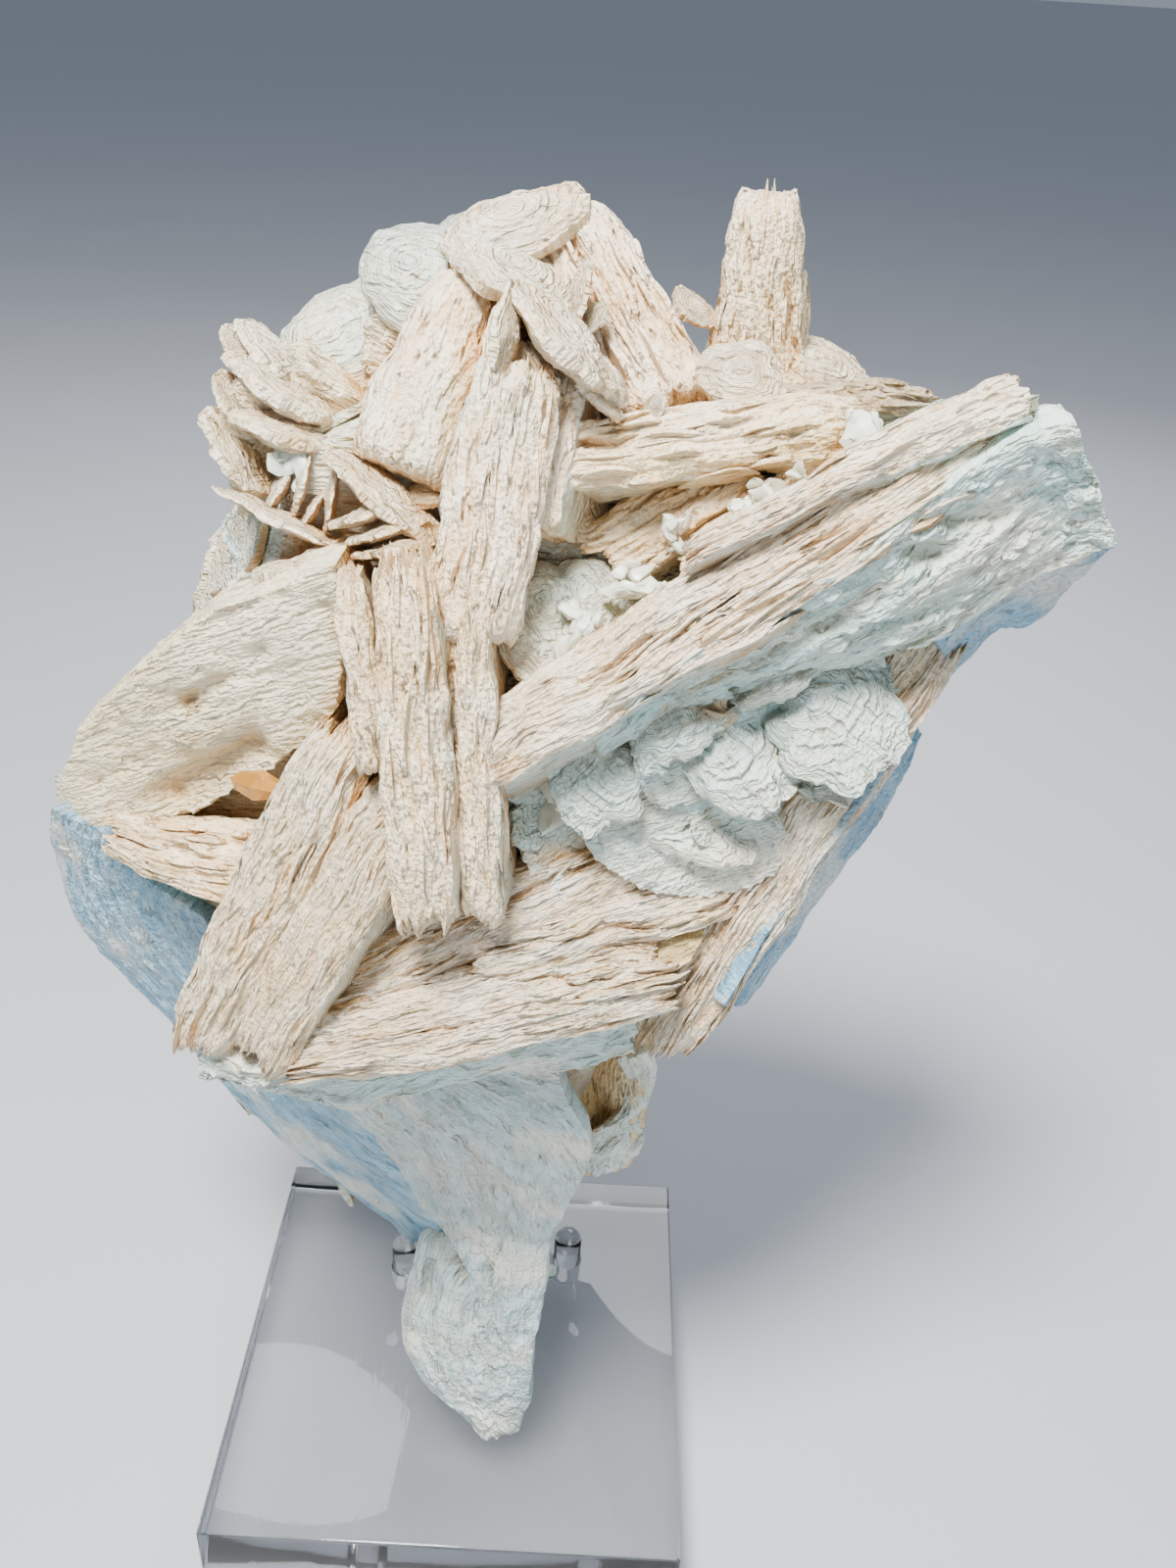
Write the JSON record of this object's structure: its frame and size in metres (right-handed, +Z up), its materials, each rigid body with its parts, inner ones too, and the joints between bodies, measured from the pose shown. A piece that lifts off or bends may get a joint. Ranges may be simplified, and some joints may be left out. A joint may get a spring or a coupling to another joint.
{
  "type": "mineral specimen on stand",
  "caption": "Cluster of interlocking stacks of thin pale calcite plates, narrowing to a foot that stands on a clear square block between short domed pegs.",
  "frame": {"origin": "centre of the underside of the clear block", "axes": "+Z up through the specimen, -Y towards the front of the display, +X to the right seen from the front"},
  "size_m": [0.177, 0.1057, 0.2768],
  "materials": {
    "calcite": "matte, finely striated",
    "clear_acrylic": "polished, clear"
  },
  "bodies": {
    "root": {"calcite_cluster": "calcite", "stand_slab": "clear_acrylic", "peg_rear_left": "clear_acrylic", "peg_rear_right": "clear_acrylic"}
  },
  "joints": []
}
